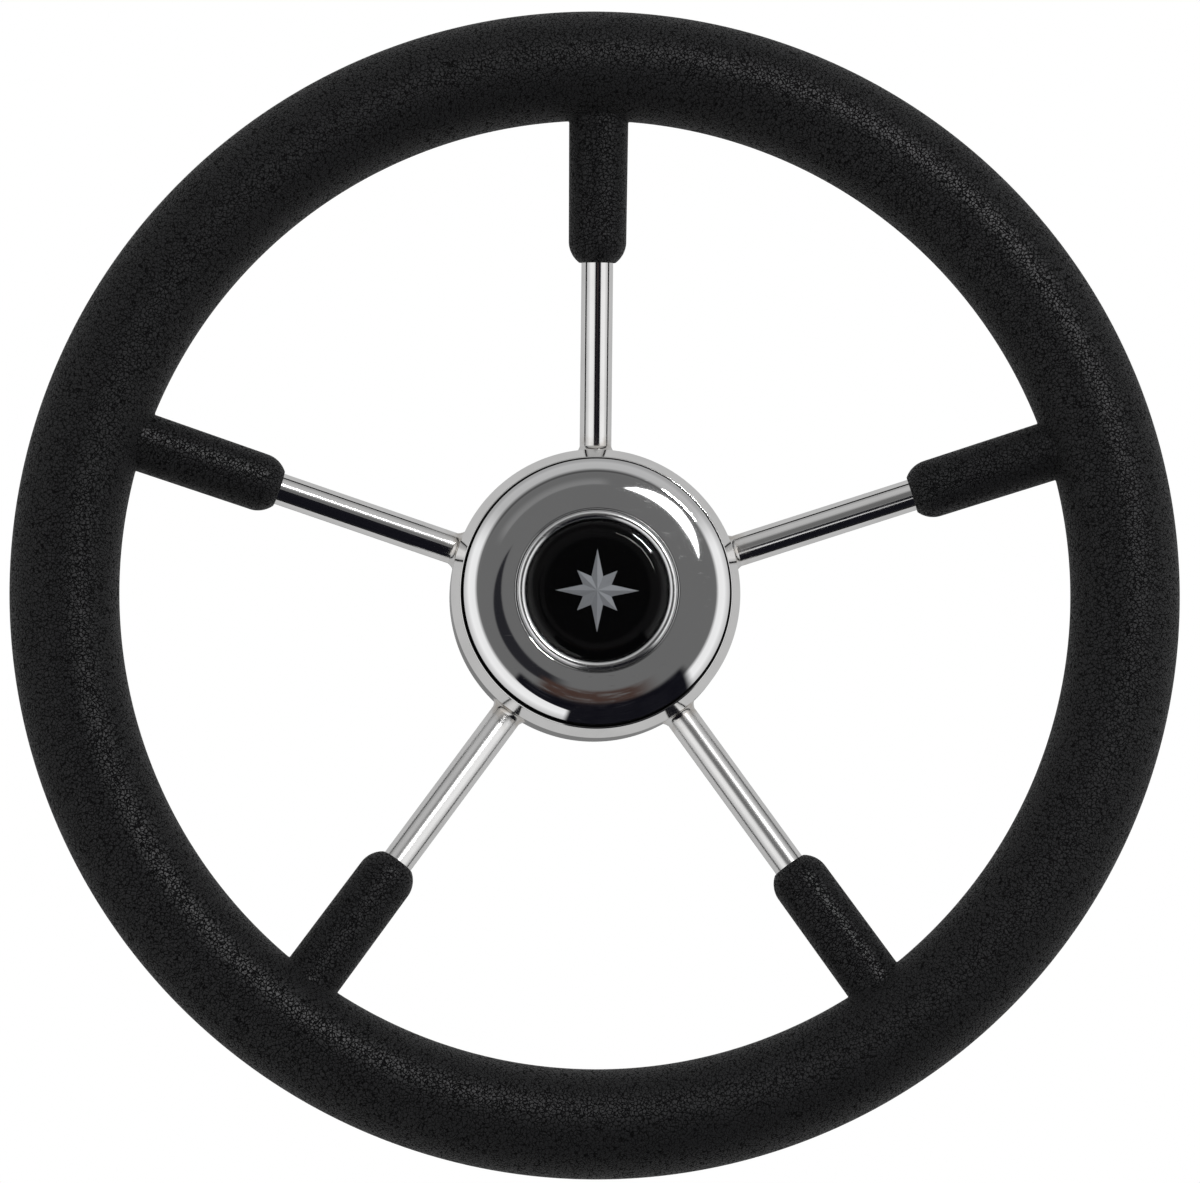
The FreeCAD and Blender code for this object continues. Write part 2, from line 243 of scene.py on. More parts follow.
def finish_piece(name, mesh, body, material, replaced=(), sharp=35):
    """Makes the object, shades it smooth up to an angle, and hangs it on its body."""
    data = bpy.data.meshes.new(name)
    mesh.to_mesh(data)
    mesh.free()
    data.shade_smooth()
    data.set_sharp_from_angle(angle=math.radians(sharp))
    piece = bpy.data.objects.new(name, data)
    bpy.context.scene.collection.objects.link(piece)
    data.materials.append(material)
    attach(piece, body)
    if replaced:
        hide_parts(*replaced)
    return piece


def joined(first, second):
    """Joins two closed meshes into one that is closed where they cross."""
    blanks = []
    for mesh in (first, second):
        data = bpy.data.meshes.new("blank")
        mesh.to_mesh(data)
        mesh.free()
        blank = bpy.data.objects.new("blank", data)
        bpy.context.scene.collection.objects.link(blank)
        blanks.append(blank)
    union = blanks[0].modifiers.new("union", "BOOLEAN")
    union.operation = "UNION"
    union.solver = "EXACT"
    union.object = blanks[1]
    bpy.context.view_layer.update()
    whole = bpy.data.meshes.new_from_object(blanks[0].evaluated_get(bpy.context.evaluated_depsgraph_get()))
    mesh = bmesh.new()
    mesh.from_mesh(whole)
    for data in [blank.data for blank in blanks] + [whole]:
        bpy.data.meshes.remove(data)
    return mesh


def paint_node(node, material):
    """Gives a CAD node another material."""
    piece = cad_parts[node]
    piece.data.materials.clear()
    piece.data.materials.append(material)


def spoke_turn(number):
    """The turn from the first spoke to another one, clockwise as the driver sees it."""
    return Matrix.Rotation(FULL_TURN * (number - 1) / bpy.context.scene.wheel_spokes.count, 4, SPIN_AXIS)


def spoke_axis():
    """The first spoke's axis, from the drum's wall to the ring's centre line."""
    sizes = bpy.context.scene.wheel_spokes
    foot = Vector((0, -sizes.foot_forward, sizes.drum_radius))
    tip = Vector((0, -RIM_FORWARD, RING_RADIUS))
    return foot, tip


def onto_spoke(number):
    """Places what is made along +Z from the origin onto a spoke."""
    foot, tip = spoke_axis()
    lean = UP.rotation_difference(tip - foot).to_matrix().to_4x4()
    return spoke_turn(number) @ Matrix.Translation(foot) @ lean


def slid_to_drum(place, along):
    """Where a place comes to lie on the drum's round wall when it slides along a direction."""
    radius = bpy.context.scene.wheel_spokes.drum_radius
    a = along.x**2 + along.z**2
    b = place.x * along.x + place.z * along.z
    c = place.x**2 + place.z**2 - radius**2
    return place + along * ((math.sqrt(b * b - a * c) - b) / a)


def on_every_spoke(single, settle=None):
    """Copies what is made along +Z from the origin onto each spoke, and settles its points there."""
    data = bpy.data.meshes.new("single")
    single.to_mesh(data)
    single.free()
    mesh = bmesh.new()
    for spoke in range(1, bpy.context.scene.wheel_spokes.count + 1):
        before = len(mesh.verts)
        mesh.from_mesh(data)
        mesh.verts.ensure_lookup_table()
        added = mesh.verts[before:]
        heights = [point.co.z for point in added]
        place = onto_spoke(spoke)
        bmesh.ops.transform(mesh, matrix=place, verts=added)
        if settle:
            along = (place.to_3x3() @ UP).normalized()
            for point, height in zip(added, heights):
                point.co = settle(point.co, along, height)
    bpy.data.meshes.remove(data)
    return mesh


# ---------------------------------------------------------------- shader expressions


class Socket:
    """A shader value. Arithmetic on it adds Math nodes."""

    def __init__(self, shader, socket):
        self.shader = shader
        self.socket = socket

    def __add__(self, other):
        return self.shader.maths("ADD", self, other)

    def __radd__(self, other):
        return self.shader.maths("ADD", other, self)

    def __sub__(self, other):
        return self.shader.maths("SUBTRACT", self, other)

    def __rsub__(self, other):
        return self.shader.maths("SUBTRACT", other, self)

    def __mul__(self, other):
        return self.shader.maths("MULTIPLY", self, other)

    def __rmul__(self, other):
        return self.shader.maths("MULTIPLY", other, self)

    def __truediv__(self, other):
        return self.shader.maths("DIVIDE", self, other)

    def __rtruediv__(self, other):
        return self.shader.maths("DIVIDE", other, self)

    def __neg__(self):
        return self.shader.maths("MULTIPLY", self, -1.0)

    def __lt__(self, other):
        return self.shader.maths("LESS_THAN", self, other)


class Shader:
    """A node tree that is being filled in."""

    def __init__(self, owner):
        owner.use_nodes = True
        self.tree = owner.node_tree
        self.tree.nodes.clear()

    def add(self, kind, settings=None, inputs=None):
        """Adds a node, sets its settings, and then gives its sockets values or links."""
        node = self.tree.nodes.new(kind)
        for name, value in (settings or {}).items():
            if name == "stops":
                ramp = node.color_ramp.elements
                ramp.remove(ramp[1])
                ramp[0].position = value[0][0]
                ramp[0].color = (*[value[0][1]] * 3, 1.0)
                for place, tone in value[1:]:
                    ramp.new(place).color = (*[tone] * 3, 1.0)
            else:
                setattr(node, name, value)
        for name, value in (inputs or {}).items():
            if isinstance(value, Socket):
                self.tree.links.new(value.socket, node.inputs[name])
            elif isinstance(value, bpy.types.NodeSocket):
                self.tree.links.new(value, node.inputs[name])
            else:
                node.inputs[name].default_value = value
        return node

    def out(self, node, name=0):
        return Socket(self, node.outputs[name])

    def maths(self, operation, *values):
        return self.out(self.add("ShaderNodeMath", {"operation": operation}, dict(enumerate(values))))

    def step(self, value, low, high):
        """0 below low, 1 above high, and smooth between."""
        settings = {"interpolation_type": "SMOOTHSTEP"}
        inputs = {"Value": value, "From Min": low, "From Max": high, "To Min": 0.0, "To Max": 1.0}
        return self.out(self.add("ShaderNodeMapRange", settings, inputs))

    def mix(self, factor, first, second):
        """A colour between two colours."""
        node = self.add("ShaderNodeMix", {"data_type": "RGBA"}, {0: factor, 6: tint(first), 7: tint(second)})
        return self.out(node, 2)

    def place(self):
        """A point's place in the wheel's frame."""
        return self.out(self.add("ShaderNodeTexCoord"), "Object")

    def scaled(self, vector, scale, turn=(0, 0, 0), shift=(0, 0, 0)):
        """A place that is stretched, turned and shifted for a pattern."""
        inputs = {"Vector": vector, "Location": shift, "Rotation": turn, "Scale": scale}
        return self.out(self.add("ShaderNodeMapping", None, inputs))

    def axes(self, vector):
        """The three numbers of a vector."""
        node = self.add("ShaderNodeSeparateXYZ", None, {0: vector})
        return [self.out(node, name) for name in "XYZ"]

    def round_the_axis(self, vector):
        """A point's distance from the spin axis, and its y."""
        x, y, z = self.axes(vector)
        return self.maths("SQRT", x * x + z * z), y

    def noise(self, vector, scale, detail=2.0, roughness=0.5):
        inputs = {"Vector": vector, "Scale": scale, "Detail": detail, "Roughness": roughness}
        return self.out(self.add("ShaderNodeTexNoise", None, inputs))

    def cells(self, vector, scale, feature="F1"):
        inputs = {"Vector": vector, "Scale": scale}
        return self.out(self.add("ShaderNodeTexVoronoi", {"feature": feature}, inputs), "Distance")

    def vector(self, operation, *values):
        return self.out(self.add("ShaderNodeVectorMath", {"operation": operation}, dict(enumerate(values))))

    def bump(self, height, distance, strength=1.0, normal=None):
        inputs = {"Strength": strength, "Distance": distance, "Height": height}
        if normal:
            inputs["Normal"] = normal
        return self.out(self.add("ShaderNodeBump", None, inputs))

    def surface(self, **inputs):
        """A Principled BSDF, by socket name with spaces written as underscores."""
        named = {name.replace("_", " "): value for name, value in inputs.items()}
        return self.out(self.add("ShaderNodeBsdfPrincipled", None, named))

    def blend(self, share, first, second):
        """A surface that is partly one and partly another."""
        return self.out(self.add("ShaderNodeMixShader", None, {0: share, 1: first, 2: second}))

    def finish(self, surface):
        self.add("ShaderNodeOutputMaterial", None, {"Surface": surface})


def tint(value):
    """A colour with its alpha, for a colour socket."""
    if isinstance(value, Socket):
        return value
    return (*value, 1.0)


def new_finish(name):
    material = bpy.data.materials.new(name)
    return material, Shader(material)


# ---------------------------------------------------------------- finishes


def toned(base, share):
    """A colour that is darker or lighter by a share."""
    return tuple(part * share for part in base)


def foam_finish():
    """Black moulded foam: leather-like pebbles with fine wrinkles, a faint parting line, and painted shade in the
    grooves.
    """
    sizes = bpy.context.scene.wheel_grip
    spokes = bpy.context.scene.wheel_spokes
    finishes = bpy.context.scene.wheel_finishes
    material, shader = new_finish("grip_foam")
    place = shader.place()
    warp = shader.add("ShaderNodeTexNoise", None, {"Vector": place, "Scale": 0.55 / sizes.grain, "Detail": 2.0})
    offset = shader.vector("SUBTRACT", shader.out(warp, "Color"), (0.5, 0.5, 0.5))
    bent = shader.vector("MULTIPLY_ADD", offset, (sizes.grain * 1.5,) * 3, place)
    pebble = shader.step(shader.cells(bent, 0.8 / sizes.grain, "DISTANCE_TO_EDGE"), 0.0, 0.15)
    wrinkle = shader.step(shader.maths("ABSOLUTE", shader.noise(bent, 1.1 / sizes.grain, 0.0) - 0.5), 0.0, 0.05)
    crest = pebble * wrinkle

    # The parting line runs round the rim's middle and down the boots, which lean back towards the drum
    radius, y = shader.round_the_axis(place)
    inward = (RING_RADIUS - radius) / (RING_RADIUS - spokes.drum_radius)
    run = shader.maths("MINIMUM", shader.maths("MAXIMUM", inward, 0.0), 1.0)
    boot = radius < RING_RADIUS - GRIP_RADIUS
    middle = run * boot * (RIM_FORWARD - spokes.foot_forward) - RIM_FORWARD
    parting = 1.0 - shader.step(shader.maths("ABSOLUTE", y - middle), 0.00005, 0.0003)

    height = pebble * 0.6 + wrinkle * 0.4 + parting * 0.5
    broad = shader.noise(place, 26.0, 3.0, 0.55)
    # Painted shade: the pebble tops are lighter and the grooves darker, with a random broad tone over both
    dark = toned(finishes.foam, 0.3)
    light = toned(finishes.foam, 1.8)
    foam = shader.surface(
        Base_Color=shader.mix(crest * 0.7 + broad * 0.5, dark, light), Roughness=0.5 - crest * 0.06 + broad * 0.06,
        IOR=1.45, Specular_IOR_Level=0.42, Sheen_Weight=0.075, Sheen_Roughness=0.3,
        Normal=shader.bump(height, sizes.grain_depth, 1.0),
    )
    # Painted shade: a black surface without shine fills the grooves between the pebbles
    groove = shader.surface(Base_Color=tint(dark), Roughness=0.7, Specular_IOR_Level=0.0)
    shader.finish(shader.blend((1.0 - crest) * 0.85, foam, groove))
    return material


def polished_finish(name, base, roughness, satin=0.0, heat=False, lean=0.0, dirt=None):
    """Polished steel: fine polishing lines, cloudy patches, small pits and, by the welds, a straw tint.

    A lean turns the shine towards the hub, for bars that look a little steeper than they are.
    """
    finishes = bpy.context.scene.wheel_finishes
    spokes = bpy.context.scene.wheel_spokes
    material, shader = new_finish(name)
    place = shader.place()
    lines = shader.noise(shader.scaled(place, (1.0, 6.0, 1.0)), 700.0, 2.0, 0.6)
    clouds = shader.noise(place, 90.0, 3.0, 0.6)
    pits = 1.0 - shader.step(shader.cells(place, 420.0), 0.03, 0.12)
    pits = pits * shader.step(shader.noise(place, 130.0, 1.0), 0.55, 0.7)
    height = lines * (0.03 + 0.03 * satin) + clouds * 0.15 - pits * 0.1
    rough = roughness + shader.step(clouds, 0.4, 0.8) * 0.03 + pits * 0.08
    normal = None
    if lean:
        outward = shader.vector("NORMALIZE", shader.vector("MULTIPLY", place, (1, 0, 1)))
        turned = shader.vector("MULTIPLY", outward, (-math.tan(lean),) * 3)
        normal = shader.vector("ADD", shader.out(shader.add("ShaderNodeNewGeometry"), "Normal"), turned)
    colour_now = shader.mix(shader.step(clouds, 0.35, 0.8) * 0.5, base, toned(base, 0.86))
    if heat:
        radius, _ = shader.round_the_axis(place)
        near = 1.0 - shader.step(radius, spokes.drum_radius + 0.001, spokes.drum_radius + 0.007)
        patchy = near * shader.step(shader.noise(place, 300.0, 2.0), 0.35, 0.7)
        colour_now = shader.mix(patchy * 0.55, colour_now, finishes.heat)
        rough = rough + near * 0.06
    steel = shader.surface(
        Base_Color=colour_now, Metallic=1.0, Roughness=rough, Normal=shader.bump(height, 0.000006, 0.25, normal)
    )
    # Painted shade in the gap round the cap, where a band for it is given
    shader.finish(painted_gap_shade(shader, steel, *dirt) if dirt else steel)
    return material


def painted_gap_shade(shader, surface, inner, outer, front):
    """Paints shade over a surface in the gap round the cap: black between two radii, up to a distance forward."""
    sizes = bpy.context.scene.wheel_hub
    radius, y = shader.round_the_axis(shader.place())
    # Where the painted shade in the gap goes, fading at its sides, front and back
    shade_mask = shader.step(radius, inner - sizes.gap_shade_edge, inner)
    shade_mask = shade_mask * (1.0 - shader.step(radius, outer, outer + sizes.gap_shade_edge))
    shade_mask = shade_mask * (1.0 - shader.step(-y, front - sizes.gap_shade_fade, front + sizes.gap_shade_fade))
    shade_mask = shade_mask * shader.step(-y, sizes.gap_shade_back - sizes.gap_shade_fade, sizes.gap_shade_back + sizes.gap_shade_fade)
    # The painted shade: a flat black surface
    dirt = shader.surface(Base_Color=(0.006, 0.006, 0.006, 1.0), Roughness=0.8, Specular_IOR_Level=0.1)
    return shader.blend(shade_mask, surface, dirt)


def chrome_finish(name, share=1.0, roughness=0.025, dirt=None):
    """Bright plate with a few hairline scratches and faint wiping marks round the axis."""
    finishes = bpy.context.scene.wheel_finishes
    material, shader = new_finish(name)
    place = shader.place()
    hairs = None
    for turn, scale, shift in ((0.35, 260.0, 0.013), (1.25, 230.0, 0.071), (2.3, 290.0, 0.037)):
        along = shader.scaled(place, (1.0, 1.0, 30.0), (0, turn, 0), (shift, 0, shift * 0.7))
        strand = shader.noise(along, scale, 2.0, 0.4)
        hair = shader.step(strand, 0.745, 0.77)
        hairs = hair if hairs is None else shader.maths("MAXIMUM", hairs, hair)
    clouds = shader.noise(place, 60.0, 3.0, 0.6)
    rough = roughness + hairs * 0.16 + shader.step(clouds, 0.5, 0.8) * 0.02
    bright = toned(finishes.chrome, share)
    plate = shader.surface(
        Base_Color=shader.mix(clouds, bright, toned(bright, 0.94)), Metallic=1.0, Roughness=rough,
        Normal=shader.bump(hairs * -0.1 + clouds * 0.35, 0.00001, 0.15),
    )
    # Painted shade in the gap round the cap, where a band for it is given
    shader.finish(painted_gap_shade(shader, plate, *dirt) if dirt else plate)
    return material


def turned_finish():
    """Machined steel: fine rings round the spin axis, and clouds of handling."""
    finishes = bpy.context.scene.wheel_finishes
    material, shader = new_finish("turned_steel")
    place = shader.place()
    radius, y = shader.round_the_axis(place)
    rings = shader.maths("SINE", (radius + y) * 9000.0) * 0.5 + 0.5
    clouds = shader.noise(place, 120.0, 3.0, 0.6)
    shader.finish(
        shader.surface(
            Base_Color=shader.mix(clouds, finishes.turned, toned(finishes.turned, 0.72)), Metallic=1.0,
            Roughness=0.26 + clouds * 0.14 + rings * 0.04,
            Normal=shader.bump(rings + clouds * 0.5, 0.00003, 0.5),
        )
    )
    return material


def rubber_finish():
    """Smooth moulded rubber with a dusty bloom."""
    finishes = bpy.context.scene.wheel_finishes
    material, shader = new_finish("seal_rubber")
    place = shader.place()
    bloom = shader.noise(place, 220.0, 3.0, 0.6)
    shader.finish(
        shader.surface(
            Base_Color=shader.mix(bloom, finishes.rubber, toned(finishes.rubber, 1.8)),
            Roughness=0.45 + bloom * 0.15,
            Normal=shader.bump(shader.noise(place, 2500.0), 0.00003, 0.4),
        )
    )
    return material


def badge_finish():
    """Gloss black disc with the faintest orange peel."""
    finishes = bpy.context.scene.wheel_finishes
    material, shader = new_finish("badge_black")
    place = shader.place()
    peel = shader.noise(place, 500.0, 2.0)
    shader.finish(
        shader.surface(
            Base_Color=shader.mix(peel * 0.4, finishes.badge, toned(finishes.badge, 1.5)),
            Roughness=0.12 + peel * 0.04, Specular_IOR_Level=0.0, Normal=shader.bump(peel, 0.00001, 0.1),
        )
    )
    return material


def star_finish():
    """Satin metallic print: fine sparkle over grey."""
    finishes = bpy.context.scene.wheel_finishes
    material, shader = new_finish("badge_star")
    place = shader.place()
    sparkle = shader.noise(place, 3800.0, 1.0)
    clouds = shader.noise(place, 140.0, 2.0)
    shader.finish(
        shader.surface(
            Base_Color=shader.mix(sparkle * 0.7 + clouds * 0.3, finishes.star, toned(finishes.star, 1.35)),
            Metallic=0.35,
            Roughness=0.42 + sparkle * 0.15, Normal=shader.bump(sparkle, 0.00002, 0.4),
        )
    )
    return material


def resin_finish():
    """Clear poured resin: what isn't mirrored by its surface goes straight through."""
    material, shader = new_finish("badge_clear")
    place = shader.place()
    waves = shader.noise(place, 70.0, 1.0)
    normal = shader.bump(waves, 0.00001, 0.15)
    clear = shader.out(shader.add("ShaderNodeBsdfTransparent", None, {"Color": (0.97, 0.975, 0.98, 1.0)}))
    gloss = shader.out(
        shader.add("ShaderNodeBsdfAnisotropic", None, {"Color": (1, 1, 1, 1), "Roughness": 0.02, "Normal": normal})
    )
    mirrored = shader.out(shader.add("ShaderNodeFresnel", None, {"IOR": 1.32, "Normal": normal}))
    shader.finish(shader.blend(mirrored, clear, gloss))
    return material


# ---------------------------------------------------------------- pieces


class WHEEL_OT_foam_grip(bpy.types.Operator):
    """Models the rim's foam and its boots as one moulding"""

    bl_idname = "wheel.foam_grip"
    bl_label = "Foam grip"

    def make_boot(self, sizes, spokes):
        """One boot along +Z: a tapered sleeve that rounds in to a flat face round the bar."""
        foot, tip = spoke_axis()
        run = (tip - foot).length
        slant = run / (RING_RADIUS - spokes.drum_radius)
        start = (RING_RADIUS - GRIP_RADIUS - sizes.boot_reach - spokes.drum_radius) * slant
        drop = sizes.boot_end_radius - spokes.radius - sizes.boot_lip
        bend = (sizes.boot_round**2 + drop**2) / (2 * drop)
        shoulder = start + sizes.boot_round
        mesh = bmesh.new()
        side = wire(mesh, [(0, -run), (sizes.boot_rim_radius, -run), (sizes.boot_end_radius, -shoulder)])
        turn = -math.asin(sizes.boot_round / bend)
        end = arc(mesh, side[-1], (sizes.boot_end_radius - bend, -shoulder), turn, 12)
        mesh.edges.new((end, mesh.verts.new((0, start, 0))))
        straight = max(mesh.edges, key=lambda edge: edge.calc_length())
        bmesh.ops.subdivide_edges(mesh, edges=[straight], cuts=30)
        turn_about(mesh, SPIN_AXIS, 96)
        bmesh.ops.transform(mesh, matrix=STAND_UP, verts=mesh.verts[:])
        return mesh

    def soften_seams(self, mesh):
        """Rounds the seams between the rim and the boots a little."""
        seams = {point for edge in mesh.edges if edge.calc_face_angle(0.0) > 0.5 for point in edge.verts}
        bottom = bpy.context.scene.wheel_grip.boot_reach * 0.75
        seams = {point for point in seams if point.co.xz.length > RING_RADIUS - GRIP_RADIUS - bottom}
        for _ in range(2):
            bmesh.ops.smooth_vert(
                mesh, verts=list(seams), factor=0.5, use_axis_x=True, use_axis_y=True, use_axis_z=True
            )

    def execute(self, context):
        sizes = context.scene.wheel_grip
        rim = bmesh.new()
        bmesh.ops.create_circle(
            rim, segments=112, radius=GRIP_RADIUS, matrix=Matrix.Translation((RING_RADIUS, -RIM_FORWARD, 0))
        )
        bmesh.ops.spin(
            rim, geom=rim.verts[:] + rim.edges[:], cent=(0, 0, 0), axis=SPIN_AXIS, angle=FULL_TURN,
            steps=560, use_merge=True,
        )
        bmesh.ops.recalc_face_normals(rim, faces=rim.faces[:])
        boots = on_every_spoke(self.make_boot(sizes, context.scene.wheel_spokes))
        bmesh.ops.recalc_face_normals(boots, faces=boots.faces[:])
        mesh = joined(rim, boots)
        self.soften_seams(mesh)
        finish_piece("foam_grip", mesh, "wheel", foam_finish(), ["grip"], 40)
        return {"FINISHED"}


class WHEEL_OT_spoke_bars(bpy.types.Operator):
    """Models the five round bars, each with its own polish"""

    bl_idname = "wheel.spoke_bars"
    bl_label = "Spoke bars"

    def execute(self, context):
        sizes = context.scene.wheel_spokes
        base = tuple(context.scene.wheel_finishes.steel)
        foot, tip = spoke_axis()
        run = (tip - foot).length
        bright = polished_finish("polished_steel", base, 0.07, 0.0, True, sizes.shine_lean)
        satin = polished_finish("satin_steel", toned(base, 0.97), 0.2, 1.0, True, sizes.shine_lean)
        for spoke in range(1, sizes.count + 1):
            mesh = bmesh.new()
            bmesh.ops.create_cone(
                mesh, cap_ends=True, segments=128, radius1=sizes.radius, radius2=sizes.radius, depth=run,
                matrix=Matrix.Translation((0, 0, run / 2)),
            )
            place = onto_spoke(spoke)
            ends = [point for point in mesh.verts if point.co.z < run / 2]
            bmesh.ops.transform(mesh, matrix=place, verts=mesh.verts[:])
            along = (place.to_3x3() @ UP).normalized()
            for point in ends:
                point.co = slid_to_drum(point.co, along)
            material = satin if spoke in (3, 4) else bright
            node = "spoke_%d" % spoke
            finish_piece("bar_%d" % spoke, mesh, "wheel", material, [node], 40)
        return {"FINISHED"}


class WHEEL_OT_spoke_welds(bpy.types.Operator):
    """Models the polished weld fillet round each spoke's foot"""

    bl_idname = "wheel.spoke_welds"
    bl_label = "Spoke welds"

    def settle(self, place, along, height):
        """Bends a fillet's foot onto the drum and leaves its top square to the bar."""
        wanted = place - along * height
        share = min(max(1.0 - height / bpy.context.scene.wheel_spokes.weld_reach, 0.0), 1.0)
        return wanted.lerp(slid_to_drum(wanted, along), share) + along * max(height, -0.0003)

    def execute(self, context):
        sizes = context.scene.wheel_spokes
        base = toned(context.scene.wheel_finishes.steel, 0.93)
        weld = bmesh.new()
        inner = sizes.radius - sizes.weld_bite
        outer = sizes.radius + sizes.weld_spread
        back = -2 * sizes.weld_bite
        corners = [(inner, sizes.weld_spread), (sizes.radius, 0.0), (outer, 0.0), (outer, back), (inner, back)]
        points = [weld.verts.new((radius, 0, along)) for radius, along in corners]
        for first, second in zip(points, points[1:] + points[:1]):
            weld.edges.new((first, second))
        bmesh.ops.bevel(
            weld, geom=[points[1]], offset=sizes.weld_spread * 0.97, offset_type="OFFSET", segments=10, profile=0.5,
            affect="VERTICES", material=-1,
        )
        for point in weld.verts:
            if point.co.z > 0:
                point.co.z *= sizes.weld_reach / sizes.weld_spread
        turn_about(weld, UP, 96)
        mesh = on_every_spoke(weld, self.settle)
        material = polished_finish("weld_steel", base, 0.12, 0.5, True)
        finish_piece("foot_welds", mesh, "wheel", material, ["spoke_welds"], 50)
        return {"FINISHED"}


class WHEEL_OT_hub_drum(bpy.types.Operator):
    """Models the drum with its bevelled lip and the ledge for the cap"""

    bl_idname = "wheel.hub_drum"
    bl_label = "Hub drum"

    def execute(self, context):
        sizes = context.scene.wheel_hub
        mouth = LIP_RADIUS - sizes.wall
        step = mouth + sizes.ledge
        seat = LIP_FORWARD - sizes.seat_depth
        floor_front = FLOOR_FORWARD + sizes.floor
        corners = [
            (sizes.spigot_radius, FLOOR_FORWARD, 0),
            (LIP_RADIUS, FLOOR_FORWARD, sizes.corner),
            (LIP_RADIUS, LIP_FORWARD - sizes.lip_bevel, sizes.lip_edge),
            (step + sizes.lip_land, LIP_FORWARD, sizes.lip_edge),
            (step, LIP_FORWARD, 0),
            (step, seat, 0),
            (mouth, seat, 0.0002),
            (mouth, floor_front, sizes.corner - sizes.wall),
            (sizes.spigot_radius, floor_front, 0),
        ]
        mesh = bmesh.new()
        points = wire(mesh, [corner[:2] for corner in corners], True)
        for point, corner in zip(points, corners):
            if corner[2]:
                round_corner(mesh, point, corner[2], 12 if corner[2] > 0.001 else 5)
        turn_about(mesh)
        # Painted shade: black over the ledge and the wall round it, in the gap round the cap
        dirt = (mouth, step + 0.00004, LIP_FORWARD + 0.0004)
        material = polished_finish("drum_steel", tuple(context.scene.wheel_finishes.steel), 0.06, dirt=dirt)
        finish_piece("drum", mesh, "wheel", material, ["hub_drum"], 30)
        return {"FINISHED"}


def dome_height(radius, behind=0.0):
    """How far forward the cap's dome is at a radius, or the hollow that lies behind it."""
    sizes = bpy.context.scene.wheel_hub
    return LIP_FORWARD + sizes.crown - sizes.dome_radius + math.sqrt((sizes.dome_radius - behind) ** 2 - radius**2)


class WHEEL_OT_hub_cap(bpy.types.Operator):
    """Models the domed cap with its skirt, the seal's groove and the badge's recess"""

    bl_idname = "wheel.hub_cap"
    bl_label = "Hub cap"

    def execute(self, context):
        sizes = context.scene.wheel_hub
        recess = context.scene.wheel_badge.recess_radius
        seat = LIP_FORWARD - sizes.seat_depth
        hollow = sizes.skirt_radius - sizes.skirt_wall
        under = BADGE_FLOOR - sizes.cap_wall
        boss = recess + sizes.cap_wall
        corners = [
            (CAP_RADIUS, seat, 0.0003),
            (sizes.skirt_radius, seat, 0),
            (sizes.skirt_radius, sizes.groove_front, 0.0001),
            (sizes.groove_radius, sizes.groove_front, 0),
            (sizes.groove_radius, sizes.groove_back, 0),
            (sizes.skirt_radius, sizes.groove_back, 0.0001),
            (sizes.skirt_radius, CAP_BACK, 0.0004),
            (hollow, CAP_BACK, 0.0004),
            (hollow, dome_height(hollow, sizes.cap_wall), sizes.cap_inner_round),
            (boss, dome_height(boss, sizes.cap_wall), 0),
            (boss, under, 0.0003),
            (0.0, under, 0),
        ]
        mesh = bmesh.new()
        face = wire(mesh, [(0.0, BADGE_FLOOR), (recess, BADGE_FLOOR), (recess, dome_height(recess))])
        dome_centre = LIP_FORWARD + sizes.crown - sizes.dome_radius
        round_centre = CAP_RADIUS - sizes.cap_round * math.sin(sizes.cap_tilt)
        reach = sizes.dome_radius - sizes.cap_round
        lean = math.asin(round_centre / reach)
        edge = arc(mesh, face[-1], (0.0, dome_centre), lean - math.asin(recess / sizes.dome_radius), 24)
        side = arc(mesh, edge, (round_centre, dome_centre + reach * math.cos(lean)), sizes.cap_tilt - lean, 24)
        round_corner(mesh, face[-1], 0.0003, 4)
        points = wire(mesh, [corner[:2] for corner in corners])
        mesh.edges.new((side, points[0]))
        for point, corner in zip(points, corners):
            if corner[2]:
                round_corner(mesh, point, corner[2], 12 if corner[2] > 0.001 else 4)
        turn_about(mesh, SPIN_AXIS, 256)
        # Painted shade: black over the foot of the cap's upright side, in the gap round the cap
        dirt = (CAP_RADIUS - 0.00003, CAP_RADIUS + 0.001, LIP_FORWARD + 0.0016)
        material = chrome_finish("cap_chrome", dirt=dirt)
        finish_piece("cap", mesh, "cap", material, ["hub_cap"], 30)
        return {"FINISHED"}


